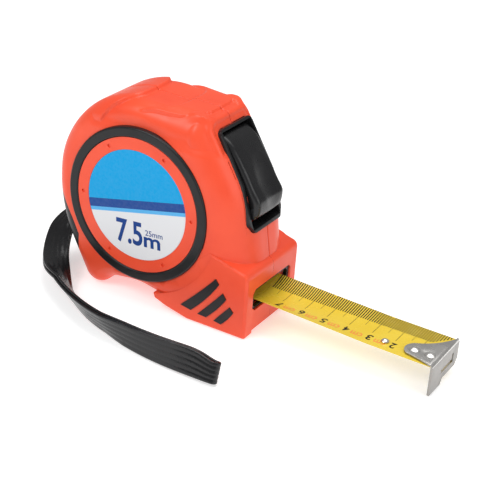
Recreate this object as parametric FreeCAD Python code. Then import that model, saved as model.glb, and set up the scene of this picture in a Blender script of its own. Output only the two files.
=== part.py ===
"""Pocket tape measure, 7.5 m by 25 mm, with an automatic blade lock.

Millimetres, +Z up. The blade runs out along +X. The origin is on the flat base under the nose,
midway between the two sides, and the floor is Z = 0. "Left" is the -Y side.
"""
import FreeCAD
import Part
import math
import os

V = FreeCAD.Vector
X_AXIS, Y_AXIS, Z_AXIS = V(1, 0, 0), V(0, 1, 0), V(0, 0, 1)

# ---- driving dimensions ----
REEL_X, REEL_Z = -38.4, 43.3      # reel axis
BODY_HALF = 20.0                  # half width of the round body
NOSE_HALF = 20.4                  # half width of the nose block, slightly proud of the body
BODY_EDGE_R = 6.0                 # rounding along the body's outline
NOSE_FRONT = 15.0                 # plane that the blade leaves
SPLIT_GAP = 0.03                  # gap between the two shells at the parting line
CAVITY_R = 31.0                   # reel chamber
CAVITY_HALF = 17.4
LOWER_FLOOR = 9.3                 # floor of the blade channel inside the case
RING_R_IN, RING_R_OUT = 28.8, 33.0
PLATE_R = 28.7
LABEL_R = 23.5
POCKET_FLOOR = 18.6               # side pocket that the ring and the plate sit in
RING_FACE, PLATE_FACE, LABEL_FACE = 20.9, 20.5, 20.4

BLADE_HALF = 12.4                 # half of the curved blade's chord, for 25 mm of flat width
BLADE_T = 0.25
BLADE_Z = 12.6                    # underside of the blade at its middle
BLADE_SAG = 2.6                   # how far the blade's edges stand up at the mouth
BLADE_FLAT_X = 64.0               # from here to the hook the blade is nearly flat
BLADE_START = 12.0                # inner end of the straight stretch, just inside the mouth
HOOK_FACE = 92.2                  # outer face of the end hook
HOOK_T = 1.0
HOOK_TOP = 13.9
HOOK_RIVETS = [(88.0, -6.0, 2.3), (81.3, -5.8, 2.3)]     # X, Y, head radius
PLATE_RIVET = (69.3, -6.6, 1.6)
COIL_R_IN, COIL_R_OUT = 16.1, 27.0
DRUM_R = 16.0
FLANGE_R = 28.5
BORE_R = 4.06                     # reel bores on the post
POST_R = 4.0
PIN_R, PIN_BORE_R = 1.5, 1.56
BUTTON_PIN_HALF, BRAKE_PIN_HALF = 12.2, 16.2

BUTTON_PIVOT = (-8.8, 74.8)       # X, Z
BRAKE_PIVOT = (-4.0, 57.0)
BUTTON_HALF = 10.0
BEZEL_HALF = 12.5
CHAMBER_HALF = 11.2               # front chamber behind the button
SHOE_HALF = 14.6                  # brake shoe
LOWER_HALF = 13.2                 # blade channel

# outline of the round body in X, Z with a corner radius at each point
BODY_OUTLINE = [
    (-60.6, -4.0, 6.5), (-79.2, 30.0, 60.0), (-79.2, 88.8, 39.0), (-11.3, 86.0, 9.0),
    (8.0, 57.0, 40.0), (13.0, 28.0, 10.0), (8.0, 12.0, 7.0), (-24.0, 4.8, 5.0),
    (-38.0, 7.4, 30.0), (-51.5, 5.6, 8.0),
]
NOSE_OUTLINE = [
    (NOSE_FRONT, 0.0, 1.0), (NOSE_FRONT, 28.4, 3.0), (-3.0, 33.2, 0.4), (-30.0, 9.0, 0.4),
    (-28.5, 4.4, 0.8), (-23.0, 2.4, 4.0), (-12.5, 0.0, 4.0),
]
NOSE_ARC_R = 38.0                 # the nose block stops on this circle about the reel axis
FRONT_CHAMBER = [
    (-30.0, 66.0), (-21.0, 72.0), (-19.0, 82.3), (-14.5, 82.3), (3.6, 56.0), (8.0, 30.0),
    (8.0, 11.5), (-20.0, 11.5),
]
SHOE_POCKET = [(-24.0, 50.0), (-2.0, 50.0), (-2.0, 72.0), (-24.0, 72.0)]
SHOE_POCKET_R = 38.6              # room for the brake shoe to swing clear of the reel
BUTTON_OPENING = [(-13.5, 76.9), (-3.5, 81.6), (16.0, 56.0), (15.5, 43.6), (4.0, 43.6)]
BEZEL_OUTLINE = [(-12.6, 78.8), (-7.3, 81.3), (-0.2, 69.4), (4.9, 61.0), (7.5, 53.5),
                 (9.2, 46.8), (11.3, 41.8), (6.2, 41.8), (4.0, 50.0), (-3.0, 64.0)]
CASE_SCREWS = [(-59.6, 5.4), (-65.9, 66.3), (-28.3, 77.6), (8.0, 4.7)]
SCREW_SEAT = 15.2                 # Y of the shoulder under the screw heads
STRAP_PIN = (-70.5, 24.0)
STRAP_SLOT_HALF = 6.4
NOSE_BARS = [
    [(-15.1, 6.3), (-6.0, 15.6), (0.6, 23.1), (2.2, 21.0), (-3.6, 12.6), (-10.2, 5.4)],
    [(-6.9, 4.8), (-0.6, 12.0), (4.2, 17.8), (5.9, 15.5), (2.2, 10.2), (-2.8, 4.6)],
    [(0.8, 4.3), (4.4, 8.8), (7.7, 12.7), (9.5, 10.8), (7.2, 7.2), (4.2, 3.8)],
]
REAR_GRIP = [(-82.0, 40.0), (-77.0, 38.0), (-71.6, 29.0), (-68.0, 21.5), (-68.2, 15.0),
             (-71.0, 11.0), (-82.0, 11.0)]
INLAY_DEPTH = 1.4

# wrist strap: a doubled flat band, drawn as a plain round tube along its middle
STRAP_DIAMETER = 9.0
STRAP_ROUTE = [
    (-75.7, 0.0, 23.85), (-82.2, -0.3, 21.3), (-85.8, -6.2, 15.6), (-81.3, -17.0, 9.5),
    (-72.0, -28.5, 6.6), (-58.0, -39.5, 5.9), (-42.5, -47.5, 5.7), (-27.0, -51.5, 5.7),
    (-10.0, -54.0, 5.7), (7.0, -54.3, 5.7), (22.5, -53.2, 5.7),
]


# ---- helpers ----
def rounded_wire(points):
    """Closed XZ wire through (x, z, radius) corners, each rounded by an arc."""
    count = len(points)
    ends = []
    for i, (x, z, radius) in enumerate(points):
        here = V(x, 0, z)
        before = V(points[i - 1][0], 0, points[i - 1][1]) - here
        after = V(points[(i + 1) % count][0], 0, points[(i + 1) % count][1]) - here
        before.normalize()
        after.normalize()
        half = before.getAngle(after) / 2
        back = radius / math.tan(half)
        middle = before + after
        middle.normalize()
        peak = here + middle * (radius / math.sin(half) - radius)
        ends.append((here + before * back, peak, here + after * back))
    edges = []
    for i, (start, peak, end) in enumerate(ends):
        edges.append(Part.Arc(start, peak, end).toShape())
        edges.append(Part.LineSegment(end, ends[(i + 1) % count][0]).toShape())
    return Part.Wire(edges)


def polygon_wire(points):
    corners = [V(x, 0, z) for x, z in points]
    return Part.makePolygon(corners + corners[:1])


def prism(wire, y_low, y_high):
    """Solid from a closed XZ wire, between two Y values."""
    face = Part.Face(wire)
    face.translate(V(0, y_low, 0))
    return face.extrude(V(0, y_high - y_low, 0))


def slab(points, y_low, y_high):
    return prism(polygon_wire(points), y_low, y_high)


def box(low, high):
    size = V(*high) - V(*low)
    return Part.makeBox(size.x, size.y, size.z, V(*low))


def disc(radius, y_low, y_high, centre=(REEL_X, REEL_Z)):
    return Part.makeCylinder(radius, y_high - y_low, V(centre[0], y_low, centre[1]), Y_AXIS)


def tube(r_in, r_out, y_low, y_high, centre=(REEL_X, REEL_Z)):
    return disc(r_out, y_low, y_high, centre).cut(disc(r_in, y_low, y_high, centre))


def save(name, shape):
    solids = shape.Solids
    assert solids and shape.isValid(), name
    shape = solids[0] if len(solids) == 1 else Part.makeCompound(solids)
    shape.exportStep("parts/" + name + ".step")
    print("%-20s solids %d volume %.1f" % (name, len(solids), shape.Volume))


def mirrored(shape):
    return shape.mirror(V(0, 0, 0), Y_AXIS)


def edges_on_sides(shape, half):
    """Edges that lie in the two side planes Y = -half and Y = +half."""
    picked = []
    for edge in shape.Edges:
        box_of_edge = edge.BoundBox
        flat = box_of_edge.YLength < 1e-4 and abs(abs(box_of_edge.YMin) - half) < 1e-4
        if flat:
            picked.append(edge)
    return picked


# ---- case ----
def round_body(shrink=0.0):
    """The round body as a solid block, optionally with its skin taken off."""
    wire = rounded_wire(BODY_OUTLINE)
    if shrink:
        wire = wire.makeOffset2D(-shrink)
    half = BODY_HALF - shrink
    body = prism(wire, -half, half)
    return body.makeFillet(BODY_EDGE_R - shrink, edges_on_sides(body, half))


def nose_block():
    block = prism(rounded_wire(NOSE_OUTLINE), -NOSE_HALF, NOSE_HALF)
    in_front = [e for e in edges_on_sides(block, NOSE_HALF)
                if e.BoundBox.XMin > -3.2 and e.BoundBox.ZMax > 0.5]
    block = block.makeFillet(1.6, in_front)
    return block.cut(disc(NOSE_ARC_R, -NOSE_HALF - 1, NOSE_HALF + 1))


def case_cavity():
    """Everything hollowed out of the case, on both sides of the parting line."""
    cavity = disc(CAVITY_R, -CAVITY_HALF, CAVITY_HALF)
    for side in (-1, 1):
        low, high = sorted((side * 15.0, side * (CAVITY_HALF + 0.1)))
        cavity = cavity.cut(tube(POST_R + 0.05, 8.0, low, high))
    cavity = cavity.fuse(box((-65.0, -LOWER_HALF, LOWER_FLOOR), (8.0, LOWER_HALF, 30.0)))
    cavity = cavity.fuse(box((7.0, -LOWER_HALF, LOWER_FLOOR), (12.4, LOWER_HALF, 22.0)))
    cavity = cavity.fuse(slab(FRONT_CHAMBER, -CHAMBER_HALF, CHAMBER_HALF))
    shoe_half = SHOE_HALF + 0.6
    cavity = cavity.fuse(disc(SHOE_POCKET_R, -shoe_half, shoe_half).common(
        slab(SHOE_POCKET, -shoe_half, shoe_half)))
    mouth = [(-15.0, 12.4), (-13.2, 10.6), (13.2, 10.6), (15.0, 12.4), (15.0, 18.4),
             (13.2, 20.3), (-13.2, 20.3), (-15.0, 18.4)]
    cavity = cavity.fuse(across_x(mouth, 11.4, NOSE_FRONT + 1))
    return cavity


def across_x(points, x_low, x_high):
    """Solid from a closed YZ outline, between two X values."""
    corners = [V(x_low, y, z) for y, z in points]
    face = Part.Face(Part.makePolygon(corners + corners[:1]))
    return face.extrude(V(x_high - x_low, 0, 0))


def pin_hole(centre, half, radius):
    return disc(radius, -half, half, centre)


def strap_pocket():
    slot = box((-82.0, -STRAP_SLOT_HALF, 21.4), (-66.5, STRAP_SLOT_HALF, 26.6))
    return slot.fuse(pin_hole(STRAP_PIN, 9.0, 1.45))


def foot_recess():
    """Shallow step under the front of the nose that leaves a foot at each side."""
    return box((9.0, -14.2, -1.0), (NOSE_FRONT + 1, 14.2, 2.0))


def screw_holes():
    holes = []
    for centre in CASE_SCREWS:
        holes.append(disc(1.35, -12.0, BODY_HALF + 2, centre))
        holes.append(disc(2.7, SCREW_SEAT, BODY_HALF + 2, centre))
    return Part.makeCompound(holes)


def side_pocket(side):
    low, high = sorted((side * POCKET_FLOOR, side * (BODY_HALF + 3)))
    return disc(RING_R_OUT + 0.05, low, high)


def nose_bar(points, grow, side):
    """One grip bar: a bent strip with curved long edges."""
    a, b, c, d, e, f = [V(x, 0, z) for x, z in points]
    wire = Part.Wire([Part.Arc(a, b, c).toShape(), Part.LineSegment(c, d).toShape(),
                      Part.Arc(d, e, f).toShape(), Part.LineSegment(f, a).toShape()])
    if grow:
        wire = wire.makeOffset2D(grow)
    low, high = sorted((side * (NOSE_HALF - 0.9), side * (NOSE_HALF + (1 if grow else 0.25))))
    return prism(wire, low, high)


def build_case():
    body = round_body()
    core = round_body(INLAY_DEPTH)
    rear_zone = slab(REAR_GRIP, -BODY_HALF - 1, BODY_HALF + 1)
    grip = body.common(rear_zone).cut(core).cut(strap_pocket())
    case = body.fuse(nose_block()).removeSplitter()
    case = case.cut(case_cavity())
    case = case.cut(body.common(rear_zone).cut(core))
    case = case.cut(slab(BUTTON_OPENING, -10.6, 10.6))
    case = case.cut(slab(BEZEL_OUTLINE, -BEZEL_HALF - 0.05, BEZEL_HALF + 0.05))
    case = case.cut(strap_pocket()).cut(foot_recess()).cut(screw_holes())
    case = case.cut(pin_hole(BUTTON_PIVOT, BUTTON_PIN_HALF + 0.2, PIN_R + 0.03))
    case = case.cut(pin_hole(BRAKE_PIVOT, BRAKE_PIN_HALF + 0.2, PIN_R + 0.03))
    case = case.cut(disc(1.6, 17.0, 30.0))
    for side in (-1, 1):
        case = case.cut(side_pocket(side))
        for points in NOSE_BARS:
            case = case.cut(nose_bar(points, 0.05, side))
    halves = {}
    for name, side in (("left", -1), ("right", 1)):
        low, high = sorted((side * SPLIT_GAP, side * 60))
        half_space = box((-200, low, -20), (200, high, 200))
        halves[name] = case.common(half_space), grip.common(half_space)
    for name, (shell, rear) in halves.items():
        save(name + "_shell", shell)
        save("rear_grip_" + name, rear)


def build_trim():
    for name, side in (("left", -1), ("right", 1)):
        ring = tube(RING_R_IN, RING_R_OUT, POCKET_FLOOR, RING_FACE)
        rims = [e for e in ring.Edges if abs(e.BoundBox.YMin - RING_FACE) < 1e-4
                and e.BoundBox.YLength < 1e-4]
        ring = ring.makeFillet(0.8, rims)
        plate = disc(PLATE_R, POCKET_FLOOR, PLATE_FACE)
        for i in range(6):
            angle = math.radians(60 * i + 2)
            x = REEL_X + 26.2 * math.cos(angle)
            z = REEL_Z + 26.2 * math.sin(angle)
            plate = plate.cut(disc(0.8, PLATE_FACE - 0.5, PLATE_FACE + 1, (x, z)))
        if side == 1:
            plate = plate.cut(disc(1.6, POCKET_FLOOR - 1, PLATE_FACE + 1))
        else:
            plate = plate.cut(disc(LABEL_R + 0.1, PLATE_FACE - 0.5, PLATE_FACE + 1))
            ring, plate = mirrored(ring), mirrored(plate)
            save("label", mirrored(disc(LABEL_R, PLATE_FACE - 0.5, LABEL_FACE)))
        save(name + "_grip_ring", ring)
        save(name + "_side_plate", plate)
        bars = [nose_bar(points, 0.0, side) for points in NOSE_BARS]
        save("nose_grips_" + name, Part.makeCompound(bars))


def build_bezel():
    bezel = slab(BEZEL_OUTLINE, -BEZEL_HALF, BEZEL_HALF)
    bezel = bezel.cut(slab(BUTTON_OPENING, -10.5, 10.5))
    save("button_bezel", bezel.cut(pin_hole(BUTTON_PIVOT, 20.0, PIN_R + 0.03)))


def build_mouth_guide():
    outer = [(-14.9, 12.45), (-13.15, 10.7), (13.15, 10.7), (14.9, 12.45), (14.9, 18.35),
             (13.15, 20.2), (-13.15, 20.2), (-14.9, 18.35)]
    inner = [(-13.4, 12.6), (-12.0, 11.5), (12.0, 11.5), (13.4, 12.6), (13.4, 17.6),
             (12.0, 19.0), (-12.0, 19.0), (-13.4, 17.6)]
    guide = across_x(outer, 12.5, NOSE_FRONT - 0.8).cut(across_x(inner, 11.0, NOSE_FRONT + 1))
    save("mouth_guide", guide)


def build_case_screws():
    screws = []
    for centre in CASE_SCREWS:
        shank = disc(1.3, -11.5, SCREW_SEAT + 0.4, centre)
        head_top = SCREW_SEAT + 1.8
        head = disc(2.4, SCREW_SEAT + 0.05, head_top, centre)
        socket = box((centre[0] - 1.4, head_top - 0.8, centre[1] - 0.35),
                     (centre[0] + 1.4, head_top + 1.0, centre[1] + 0.35))
        cross = box((centre[0] - 0.35, head_top - 0.8, centre[1] - 1.4),
                    (centre[0] + 0.35, head_top + 1.0, centre[1] + 1.4))
        screws.append(head.fuse(shank).cut(socket).cut(cross))
    save("case_screws", Part.makeCompound(screws))


def build_belt_clip():
    """Steel clip on the right side: a tab under the screw, a bend over the top, a long tongue."""
    thickness, gap = 1.2, 5.0
    y0 = PLATE_FACE + 0.03
    half_width = 7.5
    bend_z = REEL_Z + 17.0
    mid_y = y0 + thickness + gap / 2
    outer_r, inner_r = gap / 2 + thickness, gap / 2
    tab = box((REEL_X - half_width, y0, REEL_Z - 7.5), (REEL_X + half_width, y0 + thickness, bend_z))
    tongue_y = y0 + thickness + gap
    tongue = box((REEL_X - half_width, tongue_y, REEL_Z - 22.0),
                 (REEL_X + half_width, tongue_y + thickness, bend_z))
    bend = Part.makeCylinder(outer_r, 2 * half_width, V(REEL_X - half_width, mid_y, bend_z), X_AXIS)
    bend = bend.cut(Part.makeCylinder(inner_r, 2 * half_width,
                                      V(REEL_X - half_width, mid_y, bend_z), X_AXIS))
    bend = bend.common(box((-100, 0, bend_z), (100, 60, bend_z + 20)))
    clip = tab.fuse(tongue).fuse(bend).removeSplitter()
    save("belt_clip", clip.cut(disc(1.6, y0 - 1, y0 + thickness + 1)))
    head_y = y0 + thickness + 0.02
    head = disc(3.2, head_y, head_y + 1.8)
    cross = box((REEL_X - 2, head_y + 1.0, REEL_Z - 0.4), (REEL_X + 2, head_y + 3, REEL_Z + 0.4))
    cross = cross.fuse(box((REEL_X - 0.4, head_y + 1.0, REEL_Z - 2),
                           (REEL_X + 0.4, head_y + 3, REEL_Z + 2)))
    save("clip_screw", head.fuse(disc(1.3, 8.0, head_y + 0.1)).cut(cross))


# ---- reel ----
def spiral_strip(r_start, pitch, half_turns, thickness, y_low, y_high):
    """Flat spring strip wound in half circles about two alternating centres."""
    edges = {}
    for side_name, offset in (("inner", 0.0), ("outer", thickness)):
        radius = r_start + offset
        run = []
        centre_x = REEL_X
        sign = 1
        for i in range(half_turns):
            start = V(centre_x + sign * radius, 0, REEL_Z)
            mid = V(centre_x, 0, REEL_Z + sign * radius)
            end = V(centre_x - sign * radius, 0, REEL_Z)
            run.append(Part.Arc(start, mid, end).toShape())
            centre_x += sign * pitch / 2
            radius += pitch / 2
            sign = -sign
        edges[side_name] = run
    inner, outer = edges["inner"], edges["outer"]
    cap_start = Part.LineSegment(inner[0].Vertexes[0].Point, outer[0].Vertexes[0].Point).toShape()
    cap_end = Part.LineSegment(inner[-1].Vertexes[1].Point, outer[-1].Vertexes[1].Point).toShape()
    wire = Part.Wire(Part.__sortEdges__(inner + outer + [cap_start, cap_end]))
    return prism(wire, y_low, y_high)


def build_reel():
    post = disc(POST_R, -CAVITY_HALF + 0.05, CAVITY_HALF - 0.05)
    save("centre_post", post.cut(disc(1.35, 7.5, 20.0)))
    drum = tube(14.2, DRUM_R, -12.6, 12.6).fuse(tube(BORE_R, DRUM_R, -12.6, -11.0))
    save("reel_drum", drum.removeSplitter())
    save("spring_cover", tube(BORE_R, 14.1, 11.1, 12.6))
    save("reel_flange_left", tube(BORE_R, FLANGE_R, -13.9, -12.65))
    save("reel_flange_right", tube(BORE_R, FLANGE_R, 12.65, 13.9))
    save("power_spring", spiral_strip(4.9, 1.1, 15, 0.5, -10.6, 10.8))
    save("blade_coil", tube(COIL_R_IN, COIL_R_OUT, -12.5, 12.5))
    washers = [tube(BORE_R, 7.5, 14.05, 14.85), tube(BORE_R, 7.5, -14.85, -14.05)]
    save("thrust_washers", Part.makeCompound(washers))


# ---- blade and hook ----
def blade_section(x, z, sag, half):
    """Closed YZ section of the blade: an upward-curving strip of constant thickness."""
    low = Part.Arc(V(x, -half, z + sag), V(x, 0, z), V(x, half, z + sag)).toShape()
    top = Part.Arc(V(x, half, z + sag + BLADE_T), V(x, 0, z + BLADE_T),
                   V(x, -half, z + sag + BLADE_T)).toShape()
    right = Part.LineSegment(V(x, half, z + sag), V(x, half, z + sag + BLADE_T)).toShape()
    left = Part.LineSegment(V(x, -half, z + sag + BLADE_T), V(x, -half, z + sag)).toShape()
    return Part.Wire([low, right, top, left])


def build_blade():
    mouth = blade_section(BLADE_START, BLADE_Z, BLADE_SAG, BLADE_HALF - 0.3)
    middle = blade_section(BLADE_FLAT_X, BLADE_Z, 0.45, BLADE_HALF)
    tip = blade_section(HOOK_FACE - HOOK_T - 0.1, BLADE_Z, 0.1, 12.5)
    blade = Part.makeLoft([mouth, middle], True, True).fuse(
        Part.makeLoft([middle, tip], True, True)).removeSplitter()
    at_coil = blade_section(REEL_X, REEL_Z - COIL_R_OUT - 0.35, 0.05, 12.4)
    near_mouth = blade_section(BLADE_START - 0.2, BLADE_Z, BLADE_SAG, BLADE_HALF - 0.3)
    save("blade_lead", Part.makeLoft([at_coil, near_mouth], True, True))

    rivets = []
    for x, y, head_r in HOOK_RIVETS:
        rivets.append(blade_rivet(x, y, head_r, HOOK_TOP + 0.02))
        blade = blade.cut(Part.makeCylinder(1.05, 10, V(x, y, 9), Z_AXIS))
    save("hook_rivets", Part.makeCompound(rivets))
    x, y, head_r = PLATE_RIVET
    blade = blade.cut(Part.makeCylinder(1.05, 10, V(x, y, 9), Z_AXIS))
    save("blade", blade)
    save("blade_rivet", blade_rivet(x, y, head_r, BLADE_Z + BLADE_T + 0.72))


def blade_rivet(x, y, head_r, seat_z):
    """Round rivet: a domed head on top, a shank and a small flat head under the blade."""
    dome_h = 0.75
    ball_r = (head_r ** 2 + dome_h ** 2) / (2 * dome_h)
    ball = Part.makeSphere(ball_r, V(x, y, seat_z + dome_h - ball_r))
    dome = ball.common(Part.makeCylinder(head_r, dome_h, V(x, y, seat_z), Z_AXIS))
    foot_top = BLADE_Z - 0.32
    shank = Part.makeCylinder(1.0, seat_z - foot_top + 0.1, V(x, y, foot_top), Z_AXIS)
    foot = Part.makeCylinder(1.9, 0.35, V(x, y, foot_top - 0.35), Z_AXIS)
    return dome.fuse(shank).fuse(foot).removeSplitter()


def build_stiffener():
    """Thin steel strip under the end of the blade that the rivets clamp."""
    strip = box((64.0, -10.0, BLADE_Z - 0.3), (89.6, -1.5, BLADE_Z - 0.05))
    for x, y, head_r in HOOK_RIVETS + [PLATE_RIVET]:
        strip = strip.cut(Part.makeCylinder(1.05, 10, V(x, y, 9), Z_AXIS))
    save("blade_stiffener", strip)


def build_hook():
    face_yz = [(-12.8, 0.5), (-2.6, 0.5), (-0.8, 3.0), (0.4, 2.7), (10.4, 2.7), (12.8, 5.2),
               (12.8, HOOK_TOP), (-12.8, HOOK_TOP)]
    plate = across_x(face_yz, HOOK_FACE - HOOK_T, HOOK_FACE)
    slot = box((HOOK_FACE - 3, -3.2, 5.6), (HOOK_FACE + 1, 6.6, 7.2))
    riser = box((HOOK_FACE - 3, 6.6, 5.6), (HOOK_FACE + 1, 8.2, 9.6))
    plate = plate.cut(slot.fuse(riser))
    z_low = HOOK_TOP - 0.8
    start = HOOK_FACE - 0.5
    far_side = Part.Arc(V(start, 12.8, z_low), V(86.4, 3.6, z_low), V(79.6, -1.6, z_low)).toShape()
    tip = Part.Arc(V(79.6, -1.6, z_low), V(77.4, -5.8, z_low), V(79.6, -10.0, z_low)).toShape()
    near = Part.LineSegment(V(79.6, -10.0, z_low), V(start, -12.8, z_low)).toShape()
    back = Part.LineSegment(V(start, -12.8, z_low), V(start, 12.8, z_low)).toShape()
    tongue = Part.Face(Part.Wire([far_side, tip, near, back])).extrude(V(0, 0, 0.8))
    hook = plate.fuse(tongue).removeSplitter()
    for x, y, head_r in HOOK_RIVETS:
        slot_hole = Part.makeCylinder(1.05, 10, V(x, y, 9), Z_AXIS)
        slot_hole = slot_hole.fuse(Part.makeCylinder(1.05, 10, V(x - 1.0, y, 9), Z_AXIS))
        slot_hole = slot_hole.fuse(box((x - 1.0, y - 1.05, 9), (x, y + 1.05, 19)))
        hook = hook.cut(slot_hole)
    save("hook", hook)


# ---- lock ----
def build_button():
    outline = [(-8.6, 78.3), (-6.4, 78.5), (-1.6, 75.1), (4.2, 67.5), (9.0, 59.9), (12.3, 54.8),
               (11.5, 48.6), (7.4, 47.0), (3.6, 57.5), (-2.6, 66.5), (-8.5, 71.4), (-11.8, 74.8)]
    button = slab(outline, -BUTTON_HALF, BUTTON_HALF)
    hub = disc(3.0, -BUTTON_HALF, BUTTON_HALF, BUTTON_PIVOT)
    post = slab([(8.5, 52.6), (1.0, 51.6), (1.0, 47.8), (8.5, 48.4)], -3.0, 3.0)
    button = button.fuse(hub).fuse(post).removeSplitter()
    save("lock_button", button.cut(disc(PIN_BORE_R, -20, 20, BUTTON_PIVOT)))
    save("button_pin", disc(PIN_R, -BUTTON_PIN_HALF, BUTTON_PIN_HALF, BUTTON_PIVOT))


def arc_pad(r_in, r_out, start_deg, end_deg, half):
    """Block between two circles about the reel axis and two angles above +X."""
    def at(radius, degrees):
        angle = math.radians(degrees)
        return V(REEL_X + radius * math.cos(angle), 0, REEL_Z + radius * math.sin(angle))
    middle = (start_deg + end_deg) / 2
    wire = Part.Wire([
        Part.Arc(at(r_in, start_deg), at(r_in, middle), at(r_in, end_deg)).toShape(),
        Part.LineSegment(at(r_in, end_deg), at(r_out, end_deg)).toShape(),
        Part.Arc(at(r_out, end_deg), at(r_out, middle), at(r_out, start_deg)).toShape(),
        Part.LineSegment(at(r_out, start_deg), at(r_in, start_deg)).toShape()])
    return prism(wire, -half, half)


def build_brake():
    shoe = arc_pad(30.7, 33.0, 28.0, 42.0, SHOE_HALF)
    arm = slab([(-12.5, 62.6), (-9.0, 58.0), (-4.0, 53.8), (-2.2, 59.6), (-8.5, 63.2)], -5.0, 5.0)
    hub = disc(3.3, -7.5, 7.5, BRAKE_PIVOT)
    finger = slab([(-5.5, 54.5), (-1.6, 47.6), (0.2, 47.6), (0.4, 51.4), (-1.2, 56.0)], -4.0, 4.0)
    lever = hub.fuse(arm.cut(disc(30.75, -20, 20))).fuse(finger).fuse(shoe).removeSplitter()
    save("brake_lever", lever.cut(disc(PIN_BORE_R, -20, 20, BRAKE_PIVOT)))
    save("brake_pad", arc_pad(28.8, 30.65, 29.0, 41.0, SHOE_HALF - 0.2))
    save("brake_pivot_pin", disc(PIN_R, -BRAKE_PIN_HALF, BRAKE_PIN_HALF, BRAKE_PIVOT))
    leaf = [(-18.7, 74.0), (-14.4, 74.0), (-11.3, 64.6), (-10.8, 64.75), (-13.9, 74.5),
            (-18.7, 74.5)]
    save("brake_spring", slab(leaf, -3.0, 3.0))


# ---- wrist strap ----
def strap_tube():
    """Straight runs joined by tangent arcs, and the radius of each arc."""
    points = [V(*p) for p in STRAP_ROUTE]
    edges = []
    last = points[0]
    for before, here, after in zip(points, points[1:], points[2:]):
        inward, outward = before - here, after - here
        shorter = min(inward.Length, outward.Length)
        inward.normalize()
        outward.normalize()
        half_turn = (math.pi - inward.getAngle(outward)) / 2
        back = 0.45 * shorter
        radius = back / math.tan(half_turn)
        middle = inward + outward
        middle.normalize()
        peak = here + middle * (radius / math.cos(half_turn) - radius)
        start, end = here + inward * back, here + outward * back
        edges.append(Part.LineSegment(last, start).toShape())
        edges.append(Part.Arc(start, peak, end).toShape())
        print("strap bend radius %.1f" % radius)
        last = end
    edges.append(Part.LineSegment(last, points[-1]).toShape())
    path = Part.Wire(edges)
    direction = points[1] - points[0]
    section = Part.Wire(Part.makeCircle(STRAP_DIAMETER / 2, points[0], direction))
    band = path.makePipeShell([section], True, True)
    area = math.pi * STRAP_DIAMETER ** 2 / 4
    print("strap length %.1f, volume over area %.1f" % (path.Length, band.Volume / area))
    return band


def build_strap():
    save("strap_pin", disc(1.4, -8.9, 8.9, STRAP_PIN))
    save("wrist_strap", strap_tube())


os.makedirs("parts", exist_ok=True)
build_case()
build_trim()
build_bezel()
build_mouth_guide()
build_case_screws()
build_belt_clip()
build_reel()
build_blade()
build_stiffener()
build_hook()
build_button()
build_brake()
build_strap()
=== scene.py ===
"""Looks of a 7.5 m pocket tape measure: moulded case, rubber inlays, printed blade, label and strap."""
import math

import bmesh
import bpy
import numpy as np
from mathutils import Matrix, Vector


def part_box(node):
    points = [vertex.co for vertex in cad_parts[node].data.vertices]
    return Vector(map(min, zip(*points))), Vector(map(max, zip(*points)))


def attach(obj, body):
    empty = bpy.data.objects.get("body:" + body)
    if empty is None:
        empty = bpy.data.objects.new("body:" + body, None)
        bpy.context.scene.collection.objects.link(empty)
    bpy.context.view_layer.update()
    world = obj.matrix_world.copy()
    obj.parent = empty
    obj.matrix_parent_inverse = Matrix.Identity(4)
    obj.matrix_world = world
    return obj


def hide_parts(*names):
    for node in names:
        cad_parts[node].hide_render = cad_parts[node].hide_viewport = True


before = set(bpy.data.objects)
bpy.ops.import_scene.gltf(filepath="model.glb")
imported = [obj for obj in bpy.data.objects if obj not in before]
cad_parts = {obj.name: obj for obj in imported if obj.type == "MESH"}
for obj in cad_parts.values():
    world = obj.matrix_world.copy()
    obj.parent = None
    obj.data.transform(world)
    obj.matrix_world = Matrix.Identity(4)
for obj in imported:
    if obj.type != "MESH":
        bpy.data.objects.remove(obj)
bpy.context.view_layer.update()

MM = 0.001
REEL_X, REEL_Z = -38.4, 43.3      # reel axis, the centre of the round body


# ---- camera, lights, floor ----
CAMERA_PLACE = (0.2394, -0.4280, 0.2794)
CAMERA_ANGLES = (28.85, 27.16, 4.46)     # azimuth from -Y, elevation, roll


def add_camera():
    """Long lens at the height and side that the product is looked at from."""
    azimuth, elevation, roll = (math.radians(a) for a in CAMERA_ANGLES)
    back = Vector((math.sin(azimuth) * math.cos(elevation),
                   -math.cos(azimuth) * math.cos(elevation), math.sin(elevation)))
    level = Vector((math.cos(azimuth), math.sin(azimuth), 0.0))
    upright = back.cross(level)
    right = level * math.cos(roll) + upright * math.sin(roll)
    up = upright * math.cos(roll) - level * math.sin(roll)
    data = bpy.data.cameras.new("camera")
    data.sensor_width = 36.0
    data.lens = 98.24
    data.clip_start = 0.01
    data.clip_end = 20.0
    camera = bpy.data.objects.new("camera", data)
    placed = Matrix((right, up, back)).transposed().to_4x4()
    placed.translation = Vector(CAMERA_PLACE)
    camera.matrix_world = placed
    bpy.context.collection.objects.link(camera)
    bpy.context.scene.camera = camera


def add_light(name, place, size, watts, aim=(-0.01, 0.0, 0.035)):
    """Rectangular lamp turned to the middle of the object."""
    data = bpy.data.lights.new(name, "AREA")
    data.shape = "RECTANGLE"
    data.size, data.size_y = size
    data.energy = watts
    light = bpy.data.objects.new(name, data)
    light.location = place
    light.rotation_euler = (Vector(aim) - Vector(place)).to_track_quat("-Z", "Y").to_euler()
    bpy.context.collection.objects.link(light)


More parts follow.
